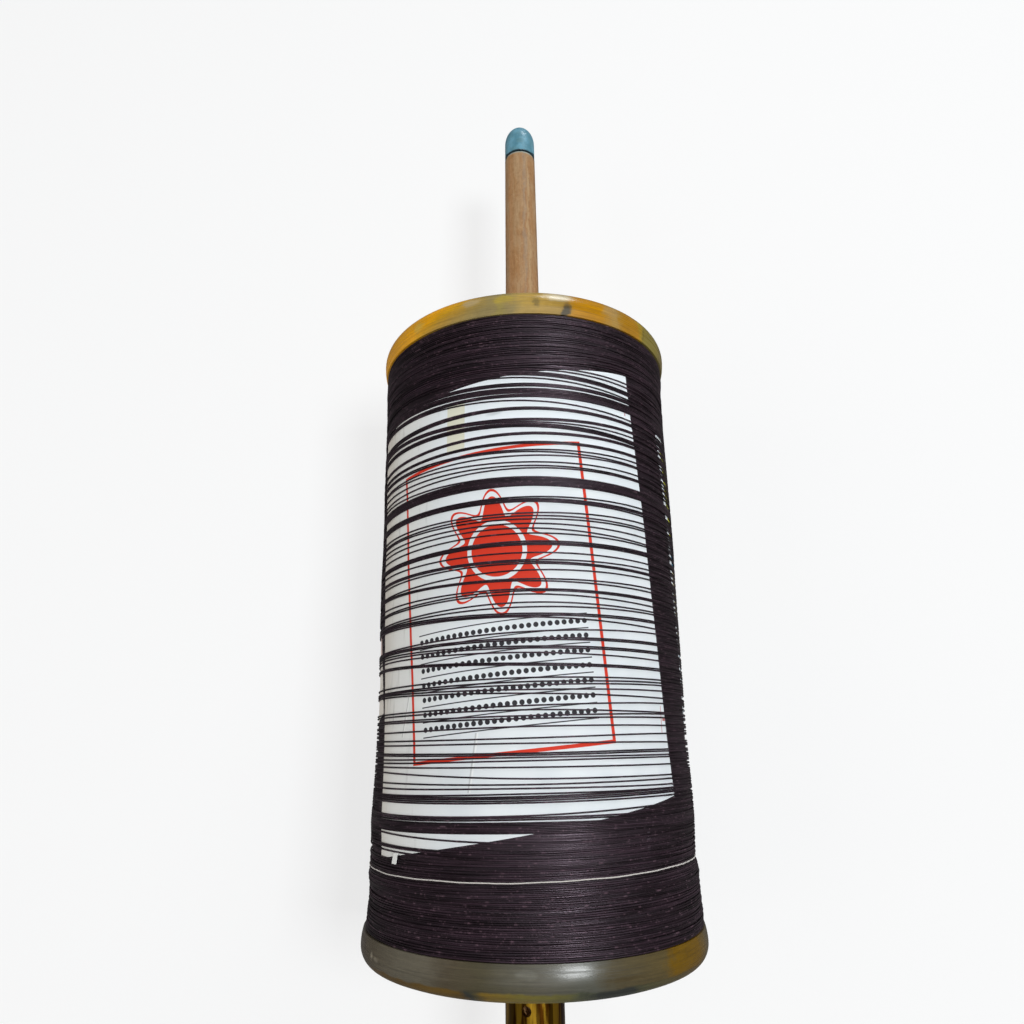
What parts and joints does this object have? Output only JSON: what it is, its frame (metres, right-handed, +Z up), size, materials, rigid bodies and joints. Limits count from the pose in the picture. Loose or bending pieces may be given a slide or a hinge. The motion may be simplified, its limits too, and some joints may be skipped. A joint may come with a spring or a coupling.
{
  "type": "reel of kite string on a two-handled spool",
  "caption": "Hand-held kite reel: dark glazed string wound between thick marbled flanges on a wooden rod with a handle at each end, with paper labels under open turns.",
  "frame": {"origin": "on the surface that the reel lies on, below the middle of the winding", "axes": "+Y along the rod, towards the plain handle and away from the sleeve; +Z up, through the middle of the large label; +X to the right of someone who looks along +Y"},
  "size_m": [0.102, 0.4166, 0.1016],
  "materials": {
    "rod_wood": "bare light brown wood with a fine straight grain, slightly worn",
    "cap_blue": "uneven light blue, a little scuffed",
    "flange_marbled": "marbled amber and olive grey with dark smears, polished, with fine marks round the rim",
    "sleeve_brass": "polished, a little tarnished",
    "string_dark": "dark purple-black glazed cotton cord, faint sheen on every turn",
    "string_white": "undyed cotton thread",
    "label_paper": "smooth white paper, slightly creased, with a plain red-orange and grey print"
  },
  "bodies": {
    "root": {"rod": "rod_wood", "cap_upper": "cap_blue", "cap_lower": "cap_blue", "flange_upper": "flange_marbled", "flange_lower": "flange_marbled", "sleeve": "sleeve_brass", "winding": "string_dark", "label_front": "label_paper", "label_right": "label_paper", "label_left": "label_paper"}
  },
  "joints": []
}
